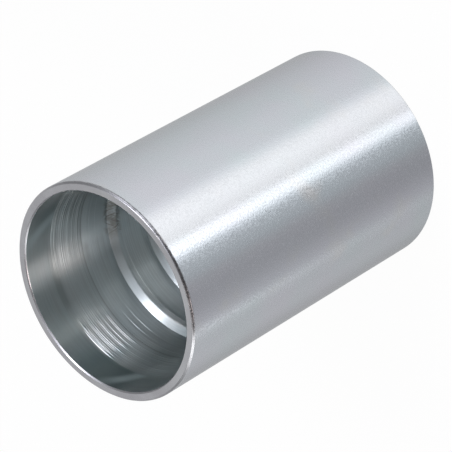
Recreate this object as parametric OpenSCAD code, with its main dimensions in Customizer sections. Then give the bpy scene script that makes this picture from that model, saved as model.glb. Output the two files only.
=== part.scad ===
// Crimp hose ferrule: one turned steel sleeve, zinc plated.
// It stands on its collar end. The hose enters the mouth at the top, and the stem of the fitting
// passes up through the collar. Depths are measured down from the mouth face.

/* [Body] */
// Length from end to end
overall_length = 92.5; // [80:0.5:140]
// Wall of the sleeve around the mouth bore
wall = 2.4; // [1.6:0.1:6]
// Chamfer on the outer edge of each end
edge_chamfer = 0.5; // [0.2:0.1:1]

/* [Mouth] */
// Diameter of the mouth bore, which takes the cover of the hose
mouth_bore_d = 52.2; // [36:0.1:80]
// Depth of the mouth bore
mouth_depth = 8.7; // [4:0.1:14]
// Chamfer on the inner edge of the mouth
lip_chamfer = 0.35; // [0.1:0.05:0.5]
// Radial step from the mouth bore in to the taper, over a 45 degree shoulder
mouth_step = 0.1; // [0.05:0.05:1.5]

/* [Taper] */
// Length of the rough turned taper that leads the hose in
taper_length = 9.7; // [4:0.1:16]
// Radial drop of the taper, down to the grip bore
taper_drop = 1; // [0.2:0.1:1.5]

/* [Relief groove] */
// Depth of the undercut that ends the taper
relief_depth = 0.2; // [0.1:0.05:1]
// Length over which the undercut runs out again
relief_length = 2; // [0.5:0.1:4]
// Plain bore between that groove and the first tooth
plain_length = 7.4; // [2:0.1:15]

/* [Teeth] */
// Height of a tooth above the grip bore
tooth_height = 1.9; // [0.5:0.1:3]
// Length of a tooth's flat crest
tooth_land = 1.8; // [0.5:0.1:4]
// Length of the slope at each side of a tooth
tooth_flank = 1.4; // [0.5:0.1:3]
// Plain bore from one tooth to the next
tooth_gap = 8; // [3:0.5:14]

/* [Collar] */
// Length of the collar that locks in the groove of the stem
collar_length = 7; // [3:0.5:12]
// Height of the collar above the grip bore
collar_height = 5; // [2:0.5:8]
// Length of the slope that leads into the collar
collar_lead = 2.5; // [0.5:0.5:5]
// Chamfer on the collar's lower inner edge
collar_chamfer = 0.8; // [0.2:0.1:1.5]

/* [Hidden] */
STEEL = "#b6babd";
ROUND = 180;

// Radii
mouth_r = mouth_bore_d / 2;
outer_r = mouth_r + wall;
taper_r = mouth_r - mouth_step;
grip_r = taper_r - taper_drop;
crest_r = grip_r - tooth_height;
collar_r = grip_r - collar_height;

// Depths at which the parts of the bore begin
taper_start = mouth_depth + mouth_step;
relief_start = taper_start + taper_length;
plain_start = relief_start + relief_length;
teeth_start = plain_start + plain_length;
collar_start = overall_length - collar_length;
lead_start = collar_start - collar_lead;

// Teeth fill the bore down to the collar
tooth_pitch = 2 * tooth_flank + tooth_land + tooth_gap;
tooth_count = max(0, floor((lead_start - teeth_start) / tooth_pitch));

// Profile point at a radius and a depth below the mouth face
function at(radius, depth) = [radius, overall_length - depth];

// One tooth, with its first slope beginning at the given depth
function tooth(depth) = [
    at(grip_r, depth),
    at(crest_r, depth + tooth_flank),
    at(crest_r, depth + tooth_flank + tooth_land),
    at(grip_r, depth + 2 * tooth_flank + tooth_land)
];

// Outside of the sleeve, from the collar end up to the mouth face
outside = [
    at(collar_r + collar_chamfer, overall_length),
    at(outer_r - edge_chamfer, overall_length),
    at(outer_r, overall_length - edge_chamfer),
    at(outer_r, edge_chamfer),
    at(outer_r - edge_chamfer, 0)
];

// Mouth bore and the shoulder that ends it
mouth = [
    at(mouth_r + lip_chamfer, 0),
    at(mouth_r, lip_chamfer),
    at(mouth_r, mouth_depth)
];

// Taper from the shoulder to the grip bore, and the groove that ends it
taper = [
    at(taper_r, taper_start),
    at(grip_r, relief_start),
    at(grip_r + relief_depth, relief_start),
    at(grip_r, plain_start)
];

teeth = [
    for (i = [0:1:tooth_count - 1])
        each tooth(teeth_start + i * tooth_pitch)
];

collar = [
    at(grip_r, lead_start),
    at(collar_r, collar_start),
    at(collar_r, overall_length - collar_chamfer)
];

// The sleeve is turned from one profile
module ferrule() {
    color(STEEL)
        rotate_extrude($fn = ROUND)
            polygon(concat(outside, mouth, taper, teeth, collar));
}

ferrule();
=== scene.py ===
import math

import bpy
import numpy as np
from mathutils import Matrix, Vector


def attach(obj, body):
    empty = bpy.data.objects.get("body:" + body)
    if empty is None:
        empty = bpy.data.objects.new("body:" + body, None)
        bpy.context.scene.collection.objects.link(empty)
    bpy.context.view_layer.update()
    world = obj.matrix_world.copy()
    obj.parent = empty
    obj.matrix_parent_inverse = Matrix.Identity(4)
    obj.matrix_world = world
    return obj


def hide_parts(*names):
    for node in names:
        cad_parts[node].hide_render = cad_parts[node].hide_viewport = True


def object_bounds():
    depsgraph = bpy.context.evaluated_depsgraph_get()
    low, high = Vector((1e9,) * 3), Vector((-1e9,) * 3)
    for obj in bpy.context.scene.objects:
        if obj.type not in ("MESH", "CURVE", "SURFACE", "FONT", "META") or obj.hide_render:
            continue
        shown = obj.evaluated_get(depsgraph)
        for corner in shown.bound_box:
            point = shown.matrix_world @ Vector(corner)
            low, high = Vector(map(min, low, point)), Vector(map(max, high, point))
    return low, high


# Crimp hose ferrule: a turned steel sleeve, zinc plated, that stands on its collar end.
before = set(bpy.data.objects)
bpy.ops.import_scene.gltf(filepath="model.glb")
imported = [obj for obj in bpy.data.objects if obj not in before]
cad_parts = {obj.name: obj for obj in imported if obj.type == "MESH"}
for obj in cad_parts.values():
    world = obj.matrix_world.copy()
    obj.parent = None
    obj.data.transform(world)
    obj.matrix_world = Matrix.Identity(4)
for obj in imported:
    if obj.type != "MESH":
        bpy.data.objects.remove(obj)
cad_low, cad_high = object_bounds()

MM = 0.001
FULL_TURN = 2 * math.pi
SCENE = bpy.context.scene
SCENE.view_settings.view_transform = "Standard"

# Driving sizes, from the solid
OUTER_R = cad_high.x
MOUTH_Z = cad_high.z

# Runs of the section, each numbered by the corner where it begins
TAIL_CHAMFER, OUTSIDE, MOUTH_CHAMFER = 1, 2, 3
MOUTH_BORE, SHOULDER, TAPER = 6, 7, 8
RUN_OUT, PLAIN_BORE, FIRST_TOOTH = 10, 11, 12
TOOTH_RUNS = 4
CREST_CORNERS = (1, 2)
LEAD = 28

# Numbers of the materials on the turned piece
PLATED, CUT, BORED = 0, 1, 2

# Segments of the turned piece round the axis
SEGMENTS = 224

# How the section is read: grid for its points, and least turn at a corner
CORNER_GRID = 0.01 * MM
LEAST_TURN = math.sin(math.radians(3))

# How far the shoulder is drawn out to each side
SHOULDER_DRAW = 0.8 * MM

# Rounding of the corners: how far back it begins, the most of a run that it takes, and its steps
EDGE_EASE = 0.07 * MM
CREST_EASE = 0.3 * MM
MOST_EASED = 0.3
EASE_STEPS = 3

# Shortest run that is divided, and depth from which the bore is out of sight
LEAST_DIVIDED = 3 * EDGE_EASE
HIDDEN_DEPTH = 46 * MM

# Length of the steps along a run: by run, on other runs in sight, and out of sight
FINE_STEPS = {MOUTH_BORE: 0.6 * MM, TAPER: 0.3 * MM, RUN_OUT: 0.3 * MM, PLAIN_BORE: 0.4 * MM}
IN_SIGHT_STEP = 0.8 * MM
COARSE_STEP = 6 * MM

# Fine tool lines in the bore: height by run, and height on the deeper runs
LINE_HEIGHTS = {MOUTH_BORE: 0.003 * MM, TAPER: 0.016 * MM, RUN_OUT: 0.010 * MM, PLAIN_BORE: 0.010 * MM}
DEEP_LINE = 0.004 * MM

# Waves that make up the tool lines (share, pitch, seed), and how far and how much they vary round the axis
LINE_WAVES = [
    (0.6, 0.5 * MM, 11),
    (0.7, 1.7 * MM, 12),
]
LINE_SHIFT = 0.15 * MM
LINE_SHIFT_COUNT, LINE_SHIFT_SEED = 5, 10
LINE_UNEVEN = 0.5
LINE_UNEVEN_COUNT, LINE_UNEVEN_SEED = 11, 13

# Strong ridges left by the tool: depth below the mouth face and height
STRONG_RIDGES = [
    (8.8 * MM, 0.26 * MM),
    (9.2 * MM, 0.28 * MM),
    (9.6 * MM, 0.22 * MM),
    (9.95 * MM, 0.12 * MM),
    (11.5 * MM, 0.12 * MM),
    (12.0 * MM, 0.18 * MM),
    (13.8 * MM, 0.20 * MM),
    (14.2 * MM, 0.18 * MM),
    (15.4 * MM, 0.10 * MM),
    (16.6 * MM, 0.15 * MM),
    (17.0 * MM, 0.12 * MM),
    (21.4 * MM, 0.05 * MM),
    (23.5 * MM, 0.07 * MM),
]

# Fine ridges over the taper, at random depths and heights
FINE_RIDGE_DEPTHS = (10.3 * MM, 18.0 * MM)
FINE_RIDGE_PITCH = 0.55 * MM
FINE_RIDGE_STRAY = 0.6 * FINE_RIDGE_PITCH
FINE_RIDGE_HEIGHTS = (0.03 * MM, 0.09 * MM)
FINE_RIDGE_SEED = 7

# Shape of a ridge along the bore: rise for its height, fall, and how close its edges are meshed
RIDGE_RISE = 0.55
RIDGE_FALL = 0.6 * MM
RIDGE_EASE = 0.015 * MM
RIDGED_RUNS = (SHOULDER, TAPER, PLAIN_BORE)

# Where the ridges stand out: direction, angles off it where they are full and faded (degrees), share
RIDGE_PATCHES = [
    (113, 8, 12.5, 1.0),
    (32, 14, 24, 0.4),
]
RIDGE_ELSEWHERE = 0.2

# The most by which a ridge's share is shifted round the axis
RIDGE_SHIFT = math.radians(2.5)
RIDGE_SHIFT_SEED = 8

# Unevenness of a ridge round the axis: its middle, and waves of share, count and seed of the first ridge
RIDGE_MIDDLE = 0.78
RIDGE_WAVES = [
    (0.15, 9, 30),
    (0.25, 56, 80),
]

# Nicks along the outer edge of the mouth: where they are full, where they have faded, and how they vary
NICK_DEPTH = 0.10 * MM
NICKED_WAY = math.radians(-55)
NICKS_FULL = math.radians(22)
NICKS_FADED = math.radians(45)
NICKS_ELSEWHERE = 0.2
NICK_ONSET = 0.25
NICK_COUNT, NICK_SEED = 128, 21


# Section of the solid
def section_corners(node):
    """Corners (radius, height) of a turned node's section: collar end, up the outside, down the bore."""
    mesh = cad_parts[node].data
    places = np.array([v.co for v in mesh.vertices])
    radius = np.hypot(places[:, 0], places[:, 1])
    keys = np.round(np.column_stack([radius, places[:, 2]]) / CORNER_GRID).astype(int)
    corners, ring = np.unique(keys, axis=0, return_inverse=True)
    ring = ring.ravel()
    joined = [set() for _ in corners]
    for edge in mesh.edges:
        a, b = (ring[v] for v in edge.vertices)
        if a != b:
            joined[a].add(b)
            joined[b].add(a)
    end_face = np.flatnonzero(corners[:, 1] == corners[:, 1].min())
    walk = sorted(end_face, key=lambda i: corners[i, 0])
    while len(walk) < len(corners):
        walk.append(next(i for i in joined[walk[-1]] if i not in walk[-2:]))
    return turns_only(corners[walk] * CORNER_GRID)


def turns_only(corners):
    """The corners at which the section turns, without points on its straight runs."""
    before = corners - np.roll(corners, 1, axis=0)
    after = np.roll(corners, -1, axis=0) - corners
    across = before[:, 0] * after[:, 1] - before[:, 1] * after[:, 0]
    reach = np.linalg.norm(before, axis=1) * np.linalg.norm(after, axis=1)
    return corners[np.abs(across) > LEAST_TURN * reach]


def drawn_out(corners):
    """The corners with the small shoulder drawn out along the bore, as a soft run."""
    drawn = corners.copy()
    taper = corners[TAPER + 1] - corners[TAPER]
    drawn[SHOULDER, 1] += SHOULDER_DRAW
    drawn[TAPER] += taper / np.linalg.norm(taper) * SHOULDER_DRAW
    return drawn


def ease_of(number):
    """How far back from a corner its rounding begins: further on the crests of the teeth."""
    on_tooth = FIRST_TOOTH < number < LEAD
    on_crest = on_tooth and (number - FIRST_TOOTH) % TOOTH_RUNS in CREST_CORNERS
    return CREST_EASE if on_crest else EDGE_EASE


def eased(corners):
    """Points of the section with every corner rounded, and the run that each point begins."""
    points, runs = [], []
    count = len(corners)
    for i, corner in enumerate(corners):
        before, after = corners[i - 1], corners[(i + 1) % count]
        reach = [np.linalg.norm(before - corner), np.linalg.norm(after - corner)]
        cut = min(ease_of(i), MOST_EASED * reach[0], MOST_EASED * reach[1])
        start = corner + (before - corner) * cut / reach[0]
        end = corner + (after - corner) * cut / reach[1]
        steps = EASE_STEPS if MOUTH_Z - corner[1] < HIDDEN_DEPTH else 1
        for t in np.linspace(0, 1, steps + 1):
            points.append((1 - t) ** 2 * start + 2 * t * (1 - t) * corner + t * t * end)
            runs.append(i - 1 if t == 0 else i)
    return np.array(points), np.array(runs) % count


def all_ridges():
    """Depth and height of every ridge in the bore."""
    chance = np.random.default_rng(FINE_RIDGE_SEED)
    depths = np.arange(*FINE_RIDGE_DEPTHS, FINE_RIDGE_PITCH)
    depths = depths + chance.uniform(0, FINE_RIDGE_STRAY, len(depths))
    return STRONG_RIDGES + [(d, chance.uniform(*FINE_RIDGE_HEIGHTS)) for d in depths]


RIDGES = all_ridges()


def run_fractions(start, end, run):
    """Where a straight run is divided: evenly, close to both of its ends, and at the ridges on it."""
    length = np.linalg.norm(end - start)
    depth = MOUTH_Z - start[1]
    in_sight = run >= MOUTH_BORE and depth < HIDDEN_DEPTH
    step = FINE_STEPS.get(run, IN_SIGHT_STEP) if in_sight else COARSE_STEP
    parts = max(1, math.ceil(length / step))
    fractions = {*np.arange(1, parts) / parts, EDGE_EASE / length, 1 - EDGE_EASE / length}
    if run in RIDGED_RUNS:
        for ridge, top in RIDGES:
            for edge in (ridge - depth, ridge + RIDGE_RISE * top - depth):
                fractions |= {(edge - RIDGE_EASE) / length, (edge + RIDGE_EASE) / length}
    return sorted(f for f in fractions if 0 < f < 1)


def divided(points, runs):
    """The section with its straight runs divided, finely where the bore can be seen."""
    out, out_runs = [], []
    for i, point in enumerate(points):
        out.append(point)
        out_runs.append(runs[i])
        following = points[(i + 1) % len(points)]
        if np.linalg.norm(following - point) < LEAST_DIVIDED:
            continue
        for f in run_fractions(point, following, runs[i]):
            out.append(point + f * (following - point))
            out_runs.append(runs[i])
    return np.array(out), np.array(out_runs)


def section_normals(points):
    """Unit normals of the section, out of the metal."""
    along = np.roll(points, -1, axis=0) - np.roll(points, 1, axis=0)
    normal = np.column_stack([along[:, 1], -along[:, 0]])
    return normal / np.linalg.norm(normal, axis=1, keepdims=True)


# Tool marks
def wander(position, pitch, seed, count=4096):
    """A smooth random line, about -1 to 1, with a knot at every pitch. It repeats after count knots."""
    knots = np.random.default_rng(seed).uniform(-1, 1, count)
    place = position / pitch
    low = np.floor(place).astype(int)
    part = place - low
    part = part * part * (3 - 2 * part)
    return knots[low % count] * (1 - part) + knots[(low + 1) % count] * part


def around(angle, count, seed):
    """A smooth random line round the axis, about -1 to 1."""
    return wander(angle, FULL_TURN / count, seed, count)


def turned_off(angle, way):
    """How far each angle is from a direction, either way round."""
    return np.abs((angle - way + math.pi) % FULL_TURN - math.pi)


def line_heights(depth, runs, angle):
    """Height of the fine tool lines, by ring of the section and by angle."""
    shift = LINE_SHIFT * around(angle, LINE_SHIFT_COUNT, LINE_SHIFT_SEED)
    shifted = depth[:, None] + shift[None, :]
    lines = sum(share * wander(shifted, pitch, seed) for share, pitch, seed in LINE_WAVES)
    height = np.array([LINE_HEIGHTS.get(run, DEEP_LINE if run > MOUTH_BORE else 0) for run in runs])
    uneven = 1 + LINE_UNEVEN * around(angle, LINE_UNEVEN_COUNT, LINE_UNEVEN_SEED)
    return height[:, None] * lines * uneven


def ridge_share(angle):
    """How much of a ridge's height there is, by angle."""
    share = np.full(len(angle), RIDGE_ELSEWHERE)
    for way, full, faded, top_share in RIDGE_PATCHES:
        off = np.degrees(turned_off(angle, math.radians(way)))
        share = np.maximum(share, np.interp(off, [full, faded], [top_share, RIDGE_ELSEWHERE]))
    return share


def ridge_heights(depth, runs, angle):
    """Height of the low ridges, which fade in and out round the bore."""
    height = np.zeros((len(depth), len(angle)))
    on_bore = np.isin(runs, RIDGED_RUNS)
    shifts = np.random.default_rng(RIDGE_SHIFT_SEED).uniform(-RIDGE_SHIFT, RIDGE_SHIFT, len(RIDGES))
    for i, (start, top) in enumerate(RIDGES):
        rise = RIDGE_RISE * top
        shape = np.interp(depth - start, [0, rise, rise + RIDGE_FALL], [0, top, 0]) * on_bore
        uneven = RIDGE_MIDDLE
        for share, count, seed in RIDGE_WAVES:
            uneven = uneven + share * around(angle, count, seed + i)
        height += shape[:, None] * ridge_share(angle + shifts[i]) * uneven
    return height


def nick_heights(runs, angle):
    """Depth of the small nicks along the outer edge of the mouth, as a negative height."""
    off = turned_off(angle, NICKED_WAY)
    share = np.interp(off, [NICKS_FULL, NICKS_FADED], [1, NICKS_ELSEWHERE])
    bites = np.clip(around(angle, NICK_COUNT, NICK_SEED) - NICK_ONSET, 0, 1)
    on_edge = (runs == MOUTH_CHAMFER).astype(float)
    return -NICK_DEPTH * on_edge[:, None] * (bites * share)[None, :]


# Turned mesh
def surface_of(runs):
    """Number of the material of each run of the section."""
    surface = np.full(len(runs), BORED)
    surface[runs < MOUTH_BORE] = CUT
    surface[(runs == TAIL_CHAMFER) | (runs == OUTSIDE)] = PLATED
    return surface


def turned_places(points, runs):
    """Places of the turned points, by ring of the section and by segment, with the tool marks."""
    angle = np.arange(SEGMENTS) * FULL_TURN / SEGMENTS
    depth = MOUTH_Z - points[:, 1]
    height = line_heights(depth, runs, angle) + ridge_heights(depth, runs, angle) + nick_heights(runs, angle)
    normal = section_normals(points)
    radius = points[:, :1] + normal[:, :1] * height
    level = points[:, 1:] + normal[:, 1:] * height
    return np.stack([radius * np.cos(angle), radius * np.sin(angle), level], axis=2)


def turned_faces(rings):
    """Numbers of the corners of each face, between neighbouring rings and segments."""
    ring = np.arange(rings)[:, None] * SEGMENTS
    ring_on = (np.arange(rings)[:, None] + 1) % rings * SEGMENTS
    step = np.arange(SEGMENTS)[None, :]
    step_on = (step + 1) % SEGMENTS
    return np.stack([ring + step, ring + step_on, ring_on + step_on, ring_on + step], axis=2)


def turned_map(points):
    """Places of each face's corners on a flat map of angle by length along the section."""
    along = np.linalg.norm(np.roll(points, -1, axis=0) - points, axis=1)
    length = np.concatenate([[0], np.cumsum(along)]) / along.sum()
    low, turn = np.broadcast_arrays(length[:-1, None], np.arange(SEGMENTS) / SEGMENTS)
    high = length[1:, None] + 0 * turn
    turn_on = turn + 1 / SEGMENTS
    return np.stack([turn, low, turn_on, low, turn_on, high, turn, high], axis=2)


def lathe(name, points, runs):
    """A closed mesh object turned from the section about Z, with its materials' numbers and its map."""
    places = turned_places(points, runs)
    faces = turned_faces(len(points))
    mesh = bpy.data.meshes.new(name)
    mesh.from_pydata(places.reshape(-1, 3), [], faces.reshape(-1, 4).tolist())
    mesh.polygons.foreach_set("use_smooth", np.ones(len(mesh.polygons), dtype=bool))
    mesh.polygons.foreach_set("material_index", np.repeat(surface_of(runs), SEGMENTS))
    mesh.uv_layers.new(name="OFBake").data.foreach_set("uv", turned_map(points).ravel())
    piece = bpy.data.objects.new(name, mesh)
    SCENE.collection.objects.link(piece)
    return piece


# Range in which most of a noise texture lies
NOISE_RANGE = (0.3, 0.7)

# Sockets of a Mix node that mixes colours, by number, because its sockets share their names
MIX_FACTOR, MIX_FIRST, MIX_SECOND, MIX_RESULT = 0, 6, 7, 2


# Shader nodes
def add(tree, kind, inputs=(), **settings):
    """A new node with its settings, and its inputs set to values or linked to sockets."""
    made = tree.nodes.new(kind)
    for name, value in settings.items():
        setattr(made, name, value)
    for name, value in dict(inputs).items():
        if isinstance(value, bpy.types.NodeSocket):
            tree.links.new(value, made.inputs[name])
        else:
            made.inputs[name].default_value = value
    return made


def maths(tree, operation, first, second=0.0):
    """The result of a Math node."""
    return add(tree, "ShaderNodeMath", {0: first, 1: second}, operation=operation).outputs["Value"]


def times(tree, first, second):
    """The product of two values."""
    return maths(tree, "MULTIPLY", first, second)


def vector_maths(tree, operation, inputs):
    """The outputs of a Vector Math node."""
    return add(tree, "ShaderNodeVectorMath", dict(enumerate(inputs)), operation=operation).outputs


def parts_of(tree, vector):
    """X, Y and Z of a vector."""
    return add(tree, "ShaderNodeSeparateXYZ", {"Vector": vector}).outputs


def vector_of(tree, **parts):
    """A vector from some of X, Y and Z."""
    return add(tree, "ShaderNodeCombineXYZ", parts).outputs["Vector"]


def smooth(tree, value, start, end, low=0.0, high=1.0):
    """A value eased from low at start to high at end."""
    inputs = {"Value": value, "From Min": start, "From Max": end, "To Min": low, "To Max": high}
    return add(tree, "ShaderNodeMapRange", inputs, interpolation_type="SMOOTHSTEP").outputs["Result"]


def noise(tree, place, size, detail=2.0):
    """Noise of about the given size in metres, 0 to 1."""
    inputs = {"Vector": place, "Scale": 1 / size, "Detail": detail}
    return add(tree, "ShaderNodeTexNoise", inputs).outputs["Fac"]


def spread(tree, value, low=0.0, high=1.0):
    """A noise value stretched to run from low to high."""
    start, end = NOISE_RANGE
    inputs = {"Value": value, "From Min": start, "From Max": end, "To Min": low, "To Max": high}
    return add(tree, "ShaderNodeMapRange", inputs).outputs["Result"]


def stretched(tree, place, share):
    """Coordinates in which a pattern runs in long lines round the axis."""
    return vector_maths(tree, "MULTIPLY", (place, (share, share, 1)))["Vector"]


def blend_colours(tree, factor, first, second):
    """A colour between two, by a factor. Each is three numbers or a socket."""
    made = add(tree, "ShaderNodeMix", data_type="RGBA")
    tree.links.new(factor, made.inputs[MIX_FACTOR])
    for number, colour in ((MIX_FIRST, first), (MIX_SECOND, second)):
        if isinstance(colour, bpy.types.NodeSocket):
            tree.links.new(colour, made.inputs[number])
        else:
            made.inputs[number].default_value = (*colour, 1)
    return made.outputs[MIX_RESULT]


def turn_from(tree, angle, centre):
    """How far an angle is from a centre, either way round, in radians."""
    off = maths(tree, "SUBTRACT", angle, centre)
    turn = add(tree, "ShaderNodeMath", {0: off, 1: math.pi, 2: -math.pi}, operation="WRAP").outputs["Value"]
    return maths(tree, "ABSOLUTE", turn)


def angle_of(tree, vector):
    """Direction from the axis, in radians."""
    parts = parts_of(tree, vector)
    return maths(tree, "ARCTAN2", parts["Y"], parts["X"])


def depth_of(tree, place):
    """Depth below the mouth face."""
    return maths(tree, "SUBTRACT", MOUTH_Z, parts_of(tree, place)["Z"])


def beside(tree, angle, reach):
    """How much an angle is in a reach, 0 to 1: a direction, half its width and its fade, in degrees."""
    way, half, fade = (math.radians(degrees) for degrees in reach)
    return smooth(tree, turn_from(tree, angle, way), half + fade, half)


def patched(tree, colour, angle, reach, share, patch):
    """A colour with a patch of another over a reach round the axis."""
    return blend_colours(tree, times(tree, beside(tree, angle, reach), share), colour, patch)


def bumped(tree, shader, height):
    """Gives a shader a bump from a height in metres."""
    bump = add(tree, "ShaderNodeBump", {"Height": height, "Distance": 1.0, "Strength": 1.0})
    tree.links.new(bump.outputs["Normal"], shader.inputs["Normal"])


def metal(name):
    """A new metal material: itself, its node tree, its shader node and its object coordinates."""
    made = bpy.data.materials.new(name)
    made.use_nodes = True
    tree = made.node_tree
    shader = tree.nodes["Principled BSDF"]
    shader.inputs["Metallic"].default_value = 1.0
    return made, tree, shader, add(tree, "ShaderNodeTexCoord").outputs["Object"]


# Dark burrs at the outer edge of the mouth, partly painted shade on the side where the edge falls dark:
# reach, least darkness, and depths between which they fade
BURR_SHADE_COLOUR = (0.1, 0.1, 0.105)
BURR_SHADE_SIZE = 0.8 * MM
EDGE_BURR_SHADE = (-65, 50, 20)
EDGE_BURR_SHADE_LEAST = 0.35
EDGE_BURR_SHADE_DEPTHS = (0.85 * MM, 0.6 * MM)

# Dark burrs on the chamfer there, partly painted shade on its darker side: reach, least darkness, and radii
# between which they begin
CHAMFER_BURR_SHADE = (-94, 32, 12)
CHAMFER_BURR_SHADE_LEAST = 0.7
CHAMFER_BURR_SHADE_RADII = (OUTER_R - 0.45 * MM, OUTER_R - 0.3 * MM)


def burrs_with_shade(tree, place, reach, least):
    """Where dark burrs and their painted shade are, by direction from the axis: from least to 1 inside the
    reach.
    """
    broken = spread(tree, noise(tree, place, BURR_SHADE_SIZE), least, 1)
    return times(tree, beside(tree, angle_of(tree, place), reach), broken)


# Plated outside: its colours, and the sizes of the patches of blue, lilac and warm
ZINC_BLUE = (0.532, 0.575, 0.60)
ZINC_LILAC = (0.557, 0.56, 0.605)
ZINC_WARM = (0.565, 0.57, 0.585)
MOTTLE_SIZE = 16 * MM
WARM_SIZE = 11 * MM
WARM_RANGE = (0.56, 0.8)

# Casts down the side of the outside: reach and colour
PLATING_CASTS = [
    ((-78, 5, 7), (0.565, 0.57, 0.59)),
    ((-99, 4, 6), (0.515, 0.565, 0.615)),
    ((-118, 7, 10), (0.55, 0.55, 0.61)),
]
CAST_SHARE = 0.7

# Grain of the plating, with its specks
GRAIN_SIZE = 0.5 * MM
GRAIN_HEIGHT = 0.017 * MM
GRAIN_ROUGHNESS = (0.135, 0.32)
SPECK_COLOUR = (0.42, 0.44, 0.47)
SPECK_SHARE = 0.02


def plating_colour(tree, place):
    """Colour of the plating: blue and lilac, with casts down the side and warm patches."""
    mottled = spread(tree, noise(tree, place, MOTTLE_SIZE))
    colour = blend_colours(tree, mottled, ZINC_BLUE, ZINC_LILAC)
    for reach, cast in PLATING_CASTS:
        colour = patched(tree, colour, angle_of(tree, place), reach, CAST_SHARE, cast)
    warmth = smooth(tree, noise(tree, place, WARM_SIZE, detail=3), *WARM_RANGE)
    return blend_colours(tree, warmth, colour, ZINC_WARM)


def satin_zinc():
    """The plated outside: satin with a sparkling grain, and dark burrs along the mouth's edge, partly
    painted shade.
    """
    made, tree, shader, place = metal("satin_zinc")
    grain = noise(tree, place, GRAIN_SIZE, detail=1)
    specks = spread(tree, grain, 0, SPECK_SHARE)
    colour = blend_colours(tree, specks, plating_colour(tree, place), SPECK_COLOUR)
    at_mouth = smooth(tree, depth_of(tree, place), *EDGE_BURR_SHADE_DEPTHS)
    # Dark burrs along the mouth's edge, partly painted shade
    burr_shade = times(tree, burrs_with_shade(tree, place, EDGE_BURR_SHADE, EDGE_BURR_SHADE_LEAST), at_mouth)
    tree.links.new(blend_colours(tree, burr_shade, colour, BURR_SHADE_COLOUR), shader.inputs["Base Color"])
    tree.links.new(spread(tree, grain, *GRAIN_ROUGHNESS), shader.inputs["Roughness"])
    bumped(tree, shader, times(tree, grain, GRAIN_HEIGHT))
    return made


# Cut ends: two colours in patches, and a painted highlight on one side of the rim
FACED_DARK = (0.54, 0.535, 0.56)
FACED_PALE = (0.65, 0.655, 0.68)
FACED_SIZE = 5 * MM
FACED_SHARE = 0.6
RIM_PAINTED_SHEEN = (-135, 22, 22)
RIM_SHEEN_SHARE = 0.65
END_ROUGHNESS = 0.26

# Bumps of the cut ends: rings from facing, and a rough outer edge
RING_SIZE = 0.2 * MM
RING_HEIGHT = 0.01 * MM
ROUGH_EDGE_SIZE = 0.5 * MM
ROUGH_EDGE_HEIGHT = 0.014 * MM
ROUGH_EDGE_RADII = (OUTER_R - 0.6 * MM, OUTER_R - 0.45 * MM)


def turned_end():
    """The cut ends and chamfers, a little lilac, with fine rings from facing, a painted highlight on one
    side of the rim, and dark burrs with painted shade at the outer edge.
    """
    made, tree, shader, place = metal("turned_end")
    shader.inputs["Roughness"].default_value = END_ROUGHNESS
    parts = parts_of(tree, place)
    flat = vector_of(tree, X=parts["X"], Y=parts["Y"])
    radius = vector_maths(tree, "LENGTH", [flat])["Value"]
    # Painted highlight on one side of the rim
    painted_sheen = times(tree, beside(tree, angle_of(tree, place), RIM_PAINTED_SHEEN), RIM_SHEEN_SHARE)
    pale = maths(tree, "ADD", spread(tree, noise(tree, place, FACED_SIZE), 0, FACED_SHARE), painted_sheen)
    colour = blend_colours(tree, pale, FACED_DARK, FACED_PALE)
    on_chamfer = smooth(tree, radius, *CHAMFER_BURR_SHADE_RADII)
    # Dark burrs on the chamfer, partly painted shade
    burr_shade = times(tree, burrs_with_shade(tree, place, CHAMFER_BURR_SHADE, CHAMFER_BURR_SHADE_LEAST), on_chamfer)
    tree.links.new(blend_colours(tree, burr_shade, colour, BURR_SHADE_COLOUR), shader.inputs["Base Color"])
    rings = times(tree, noise(tree, vector_of(tree, X=radius), RING_SIZE), RING_HEIGHT)
    on_edge = smooth(tree, radius, *ROUGH_EDGE_RADII, 0, ROUGH_EDGE_HEIGHT)
    rough_edge = times(tree, noise(tree, place, ROUGH_EDGE_SIZE), on_edge)
    bumped(tree, shader, maths(tree, "ADD", rings, rough_edge))
    return made


# Depths below the mouth face at which the shoulder, the undercut and the first tooth begin, from the solid
CORNERS = section_corners("ferrule")
SHOULDER_DEPTH = float(MOUTH_Z - CORNERS[SHOULDER][1])
UNDERCUT_DEPTH = float(MOUTH_Z - CORNERS[RUN_OUT][1])
TOOTH_DEPTH = float(MOUTH_Z - CORNERS[FIRST_TOOTH][1])

# Colours of the bore, and the depths over which they change: painted shade makes the mouth darker, painted
# light makes the deeper bore paler
SHADED_MOUTH_COLOUR = (0.435, 0.505, 0.515)
TAPER_COLOUR = (0.575, 0.65, 0.665)
LIT_DEEP_COLOUR = (0.68, 0.745, 0.76)
TAPER_CHANGE = (SHOULDER_DEPTH - 0.1 * MM, SHOULDER_DEPTH + 2.3 * MM)
DEEP_CHANGE = (UNDERCUT_DEPTH - 0.5 * MM, UNDERCUT_DEPTH + 1.5 * MM)

# Grey patches over them
GREY_COLOUR = (0.64, 0.66, 0.67)
GREY_SIZE = 9 * MM
GREY_SHARE = 0.4

# Turning lines, which run round the axis
LINE_COLOUR = (0.33, 0.35, 0.36)
LINE_SIZE = 0.4 * MM
LINE_STRETCH = 0.02
LINE_SHARE = 0.3
LINE_BUMP = 0.03 * MM

# Tarnish
TARNISH_COLOUR = (0.40, 0.395, 0.365)
TARNISH_SIZE = 2.5 * MM
TARNISH_STRETCH = 0.4
TARNISH_SHARE = 0.14

# Pits
PIT_SIZE = 0.5 * MM
PIT_STRETCH = 0.15
PIT_BUMP = 0.012 * MM

# Painted shade in the root of the undercut, where it begins: a dark line, a little wavy
UNDERCUT_SHADE_COLOUR = (0.3, 0.31, 0.31)
UNDERCUT_SHADE_FADE = (0.35 * MM, 0.1 * MM)
UNDERCUT_SHADE_SHARE = 0.5
WAVE_SIZE = 6 * MM
WAVE_DEPTH = 0.5 * MM

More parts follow.
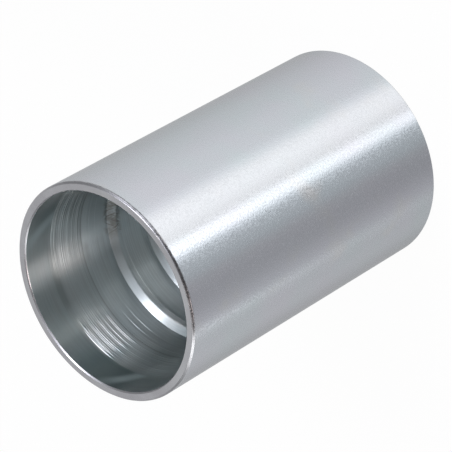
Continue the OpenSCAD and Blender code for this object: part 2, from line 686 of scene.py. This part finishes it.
# Painted shade over one side of the mouth bore, and the depths over which it and the painted reflections end
MOUTH_SHADE_REACH = (130, 8, 16)
MOUTH_SHADE_COLOUR = (0.20, 0.265, 0.27)
MOUTH_SHADE_SHARE = 0.75
MOUTH_END = (SHOULDER_DEPTH + 0.5 * MM, SHOULDER_DEPTH - 0.5 * MM)

# Slanting painted reflections of the rim in the mouth bore, the first a darker band of painted shade: reach
# at the mouth face, slant (degrees for each mm of depth), colour
MOUTH_REFLECTIONS = [
    ((29, 6, 10), 0.0, (0.37, 0.435, 0.445)),
    ((43.5, 0.5, 7), -1.5, (0.55, 0.635, 0.65)),
    ((134.6, 0.5, 6), 1.5, (0.66, 0.755, 0.765)),
]

# Depths over which the painted reflections come in, and their shares there
REFLECTION_DEPTHS = (0, 5 * MM)
REFLECTION_SHARES = (0.45, 1)

# Painted shade and painted highlights deeper in the bore: reach, depths where each begins and ends, share,
# colour
BORE_SHADE_COLOUR = (0.3, 0.33, 0.33)
PATCH_FADE = 0.5 * MM
BORE_SHADE_AND_HIGHLIGHTS = [
    ((62, 4, 6), (SHOULDER_DEPTH - 0.3 * MM, UNDERCUT_DEPTH + 2 * MM), 0.35, BORE_SHADE_COLOUR),
    ((69, 14, 8), (SHOULDER_DEPTH - 0.9 * MM, SHOULDER_DEPTH + 1 * MM), 0.55, BORE_SHADE_COLOUR),
    ((112, 7, 5), (SHOULDER_DEPTH - 0.3 * MM, UNDERCUT_DEPTH - 0.6 * MM), 0.6, (0.72, 0.725, 0.72)),
    ((41, 12, 9), (UNDERCUT_DEPTH + 0.3 * MM, TOOTH_DEPTH - 0.4 * MM), 1, (0.78, 0.84, 0.85)),
    ((131, 9, 7), (TOOTH_DEPTH + 1.3 * MM, TOOTH_DEPTH + 3.7 * MM), 1, (0.95, 0.97, 0.98)),
]

# Scar on the first tooth: a smudge, and scratches that cross it at two slants
SCAR_COLOUR = (0.24, 0.22, 0.195)
SCAR_SHARE = 0.86
SCAR_REACH = (49, 7, 10)
SCAR_DEPTH = TOOTH_DEPTH + 0.9 * MM
SCAR_FADE = (2.8 * MM, 0.8 * MM)
SMUDGE_SIZE = 1.5 * MM
SMUDGE_RANGE = (0.35, 0.65)
SMUDGE_SHARES = (0.1, 0.75)
SCRATCH_SLANTS = (math.radians(58), math.radians(-50))
SCRATCH_SIZE = 0.4 * MM
SCRATCH_STRETCH = 12
SCRATCH_RANGE = (0.55, 0.68)
SCRATCH_RADIUS = 24 * MM

# Roughness of the bore and of its taper, and the depths over which it changes
BORE_ROUGHNESS = (0.35, 0.38)
ROUGH_START = (SHOULDER_DEPTH - 0.1 * MM, SHOULDER_DEPTH + 0.5 * MM)
ROUGH_END = (UNDERCUT_DEPTH + 0.1 * MM, UNDERCUT_DEPTH - 0.7 * MM)

# Stretch of the highlights, and the quarter turn that lays it along the axis
BORE_ANISOTROPY = 0.92
QUARTER_TURN = 0.25


def within(tree, depth, start, end):
    """How much a depth is between two others, 0 to 1, with soft ends."""
    begun = smooth(tree, depth, start - PATCH_FADE, start + PATCH_FADE)
    return times(tree, begun, smooth(tree, depth, end + PATCH_FADE, end - PATCH_FADE))


def undercut_shade(tree, place, depth):
    """How much of the painted shade line at the undercut's root there is."""
    waves = times(tree, noise(tree, place, WAVE_SIZE), WAVE_DEPTH)
    off = maths(tree, "SUBTRACT", maths(tree, "ADD", depth, waves), UNDERCUT_DEPTH + WAVE_DEPTH / 2)
    return smooth(tree, maths(tree, "ABSOLUTE", off), *UNDERCUT_SHADE_FADE, 0, UNDERCUT_SHADE_SHARE)


def lined_bore(tree, place, depth, lines):
    """Colour of the bore by depth, painted darker at the mouth and paler deeper in, with its turning lines,
    tarnish and painted shade line.
    """
    colour = blend_colours(tree, smooth(tree, depth, *TAPER_CHANGE), SHADED_MOUTH_COLOUR, TAPER_COLOUR)
    colour = blend_colours(tree, smooth(tree, depth, *DEEP_CHANGE), colour, LIT_DEEP_COLOUR)
    grey = spread(tree, noise(tree, place, GREY_SIZE), 0, GREY_SHARE)
    colour = blend_colours(tree, grey, colour, GREY_COLOUR)
    colour = blend_colours(tree, spread(tree, lines, 0, LINE_SHARE), colour, LINE_COLOUR)
    blotches = noise(tree, stretched(tree, place, TARNISH_STRETCH), TARNISH_SIZE)
    colour = blend_colours(tree, spread(tree, blotches, 0, TARNISH_SHARE), colour, TARNISH_COLOUR)
    return blend_colours(tree, undercut_shade(tree, place, depth), colour, UNDERCUT_SHADE_COLOUR)


def mouth_shade_and_reflections(tree, colour, angle, depth):
    """A colour of the bore with painted shade and slanting painted reflections in its mouth."""
    in_mouth = smooth(tree, depth, *MOUTH_END)
    # Painted shade over one side of the mouth bore
    mouth_shade = times(tree, in_mouth, MOUTH_SHADE_SHARE)
    colour = patched(tree, colour, angle, MOUTH_SHADE_REACH, mouth_shade, MOUTH_SHADE_COLOUR)
    # Slanting painted reflections of the rim, one of them painted shade
    reflected = times(tree, in_mouth, smooth(tree, depth, *REFLECTION_DEPTHS, *REFLECTION_SHARES))
    for reach, slant, reflection in MOUTH_REFLECTIONS:
        slanted = maths(tree, "SUBTRACT", angle, times(tree, depth, math.radians(slant) / MM))
        colour = patched(tree, colour, slanted, reach, reflected, reflection)
    return colour


def bore_shade_and_highlights(tree, colour, angle, depth):
    """A colour of the bore with its patches of painted shade and painted highlight."""
    for reach, depths, share, patch in BORE_SHADE_AND_HIGHLIGHTS:
        shown = times(tree, within(tree, depth, *depths), share)
        colour = patched(tree, colour, angle, reach, shown, patch)
    return colour


def scratches(tree, angle, depth, slant):
    """Thin straight scratches that cross the bore at a slant, 0 to 1."""
    flat = vector_of(tree, X=times(tree, angle, SCRATCH_RADIUS), Y=depth)
    inputs = {"Vector": flat, "Rotation": (0, 0, slant), "Scale": (SCRATCH_STRETCH, 1, 1)}
    turned = add(tree, "ShaderNodeMapping", inputs, vector_type="TEXTURE").outputs["Vector"]
    return smooth(tree, noise(tree, turned, SCRATCH_SIZE, detail=1), *SCRATCH_RANGE)


def scar(tree, place, angle, depth):
    """Where the scar is: a smudge with scratches across it, 0 to 1."""
    off = maths(tree, "ABSOLUTE", maths(tree, "SUBTRACT", depth, SCAR_DEPTH))
    patch = times(tree, beside(tree, angle, SCAR_REACH), smooth(tree, off, *SCAR_FADE))
    both = maths(tree, "MAXIMUM", *(scratches(tree, angle, depth, slant) for slant in SCRATCH_SLANTS))
    smudge = smooth(tree, noise(tree, place, SMUDGE_SIZE), *SMUDGE_RANGE, *SMUDGE_SHARES)
    return times(tree, patch, maths(tree, "MAXIMUM", both, smudge))


def bore_roughness(tree, depth):
    """Roughness of the bore, a little higher on the taper."""
    on_taper = times(tree, smooth(tree, depth, *ROUGH_START), smooth(tree, depth, *ROUGH_END))
    return smooth(tree, on_taper, 0, 1, *BORE_ROUGHNESS)


def stretch_highlights(tree, shader):
    """Gives a shader highlights that are stretched along the axis by lines round it."""
    shader.inputs["Anisotropic"].default_value = BORE_ANISOTROPY
    shader.inputs["Anisotropic Rotation"].default_value = QUARTER_TURN
    tangent = add(tree, "ShaderNodeTangent", direction_type="RADIAL", axis="Z")
    tree.links.new(tangent.outputs["Tangent"], shader.inputs["Tangent"])


def turned_bore():
    """The bore, darker and greener, with turning lines, tarnish, painted shade and painted highlights,
    slanting painted reflections and a scar.
    """
    made, tree, shader, place = metal("turned_bore")
    stretch_highlights(tree, shader)
    depth = depth_of(tree, place)
    angle = angle_of(tree, place)
    lines = noise(tree, stretched(tree, place, LINE_STRETCH), LINE_SIZE, detail=3)
    colour = lined_bore(tree, place, depth, lines)
    colour = mouth_shade_and_reflections(tree, colour, angle, depth)
    colour = bore_shade_and_highlights(tree, colour, angle, depth)
    stain = times(tree, scar(tree, place, angle, depth), SCAR_SHARE)
    tree.links.new(blend_colours(tree, stain, colour, SCAR_COLOUR), shader.inputs["Base Color"])
    tree.links.new(bore_roughness(tree, depth), shader.inputs["Roughness"])
    pits = times(tree, noise(tree, stretched(tree, place, PIT_STRETCH), PIT_SIZE), PIT_BUMP)
    bumped(tree, shader, maths(tree, "ADD", times(tree, lines, LINE_BUMP), pits))
    return made


# Camera, with the middle of the mouth left of and below the middle of the picture
CAMERA_LENS = 240.2
CAMERA_SENSOR = 36
CAMERA_END = 20
CAMERA_ELEVATION = math.radians(41.06)
CAMERA_ROLL = math.radians(-119.81)
CAMERA_DISTANCE = 25.258 * OUTER_R
MOUTH_LEFT = 1.0112 * OUTER_R
MOUTH_DOWN = 0.5544 * OUTER_R
MOUTH_EDGE = 0.5 * MM


def place_camera():
    """The photograph's view: from above the mouth, rolled so that the sleeve lies across the picture."""
    data = bpy.data.cameras.new("camera")
    data.lens = CAMERA_LENS
    data.sensor_width = CAMERA_SENSOR
    data.clip_end = CAMERA_END
    back = Vector((0, -math.cos(CAMERA_ELEVATION), math.sin(CAMERA_ELEVATION)))
    level = Vector((1, 0, 0))
    raised = back.cross(level)
    right = math.cos(CAMERA_ROLL) * level + math.sin(CAMERA_ROLL) * raised
    up = back.cross(right)
    mouth = Vector((0, 0, MOUTH_Z - MOUTH_EDGE))
    place = mouth + back * CAMERA_DISTANCE + right * MOUTH_LEFT + up * MOUTH_DOWN
    camera = bpy.data.objects.new("camera", data)
    turn = Matrix((right, up, back)).transposed().to_4x4()
    camera.matrix_world = Matrix.Translation(place) @ turn
    SCENE.collection.objects.link(camera)
    SCENE.camera = camera


# Upright panels: azimuth from +X towards +Y, half width, fade (degrees), strength, share left lower down
PANEL_BASE = 0.48
PANEL_COLOUR = (0.985, 0.995, 1.0)
PANELS = [
    (-34, 5, 100, 0.58, 1),
    (-63, 4, 24, 0.66, 1),
    (-89.5, 3.3, 6, 1.95, 0.58),
    (-110, 4, 14, 0.06, 1),
    (168, 12, 40, 0.25, 0.8),
    (-175, 1.5, 4, 0.55, 0),
    (44, 10, 40, 0.085, 1),
    (88, 5, 12, 0.18, 1),
]

# Heights of a direction (its Z) between which some panels weaken, all of them darken, and the sky takes over
PANEL_HEIGHTS = (-0.675, -0.635)
SHADE_HEIGHTS = (-0.85, -0.6)
SHADE_SHARES = (0.77, 1.02)
HORIZON_HEIGHTS = (-0.1, 0.1)

# Soft lights and shades above: direction, cosines where each is full and where it ends, colour and strength
SKY_BASE = (0.275, 0.28, 0.285)
SKY_LIGHTS = [
    ((0.45, -0.26, 0.854), 0.97, 0.82, (0.86, 0.88, 0.97)),
    ((0.48, -0.31, 0.82), 0.992, 0.970, (4.6, 4.6, 4.9)),
    ((0.52, -0.48, 0.705), 0.985, 0.95, (0.5, 0.5, 0.52)),
    ((-0.73, -0.57, 0.375), 0.9925, 0.968, (10.0, 8.6, 8.2)),
    ((0.265, -0.914, 0.309), 0.9976, 0.992, (7.4, 6.6, 6.2)),
    ((-0.05, -0.38, 0.92), 0.985, 0.93, (0.17, 0.17, 0.18)),
    ((-0.50, -0.52, 0.69), 0.98, 0.93, (-0.13, -0.13, -0.13)),
    ((-0.964, -0.04, 0.26), 0.975, 0.915, (1.7, 1.7, 1.7)),
    ((0.0, 0.75, 0.66), 0.95, 0.60, (0.30, 0.30, 0.30)),
]


def panel_ring(tree, way):
    """Light of the upright panels in each direction."""
    height = parts_of(tree, way)["Z"]
    azimuth = angle_of(tree, way)
    ring = PANEL_BASE
    for centre, half, fade, strength, left in PANELS:
        panel = beside(tree, azimuth, (centre, half, fade))
        upright = smooth(tree, height, *PANEL_HEIGHTS, left * strength, strength)
        ring = maths(tree, "ADD", times(tree, panel, upright), ring)
    ring = times(tree, ring, smooth(tree, height, *SHADE_HEIGHTS, *SHADE_SHARES))
    return vector_maths(tree, "MULTIPLY", (ring, PANEL_COLOUR))["Vector"]


def soft_sky(tree, way):
    """Light of the soft lights and shades above in each direction."""
    sky = SKY_BASE
    for centre, full, end, colour in SKY_LIGHTS:
        near = vector_maths(tree, "DOT_PRODUCT", (way, Vector(centre).normalized()))["Value"]
        sky = vector_maths(tree, "MULTIPLY_ADD", (smooth(tree, near, end, full), colour, sky))["Vector"]
    return sky


def studio_world():
    """A pale studio: upright panels all round below the horizon, and soft lights above it."""
    world = bpy.data.worlds.new("studio")
    SCENE.world = world
    world.use_nodes = True
    tree = world.node_tree
    way = add(tree, "ShaderNodeTexCoord").outputs["Generated"]
    above = smooth(tree, parts_of(tree, way)["Z"], *HORIZON_HEIGHTS)
    light = blend_colours(tree, above, panel_ring(tree, way), soft_sky(tree, way))
    tree.links.new(light, tree.nodes["Background"].inputs["Color"])


# Floor: its size, its paint, its plain white, and the share of that white for the camera
FLOOR_SIZE = 8
FLOOR_PAINT = (0.92, 0.92, 0.92, 1)
FLOOR_WHITE = (1, 1, 1, 1)
FLOOR_PLAIN_SHARE = 0.96


def floor_white():
    """Paint that the camera sees as nearly plain white, with a little of the shadow on it."""
    made = bpy.data.materials.new("floor_white")
    made.use_nodes = True
    tree = made.node_tree
    painted = add(tree, "ShaderNodeBsdfDiffuse", {"Color": FLOOR_PAINT}).outputs["BSDF"]
    plain = add(tree, "ShaderNodeEmission", {"Color": FLOOR_WHITE, "Strength": 1.0}).outputs["Emission"]
    seen = add(tree, "ShaderNodeLightPath").outputs["Is Camera Ray"]
    both = add(tree, "ShaderNodeMixShader", {0: times(tree, seen, FLOOR_PLAIN_SHARE), 1: painted, 2: plain})
    tree.links.new(both.outputs["Shader"], tree.nodes["Material Output"].inputs["Surface"])
    return made


def lay_floor():
    """A white floor that shows the shadow. The metal mirrors the studio's panels in its place."""
    bpy.ops.mesh.primitive_plane_add(size=FLOOR_SIZE)
    floor = bpy.context.object
    floor.name = "floor"
    floor.visible_glossy = False
    floor.visible_shadow = False
    floor.data.materials.append(floor_white())


def make_ferrule():
    """The turned sleeve, which stands for the CAD node."""
    piece = lathe("ferrule_turned", *divided(*eased(drawn_out(CORNERS))))
    for material in (satin_zinc(), turned_end(), turned_bore()):
        piece.data.materials.append(material)
    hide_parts("ferrule")
    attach(piece, "root")


place_camera()
make_ferrule()
studio_world()
lay_floor()
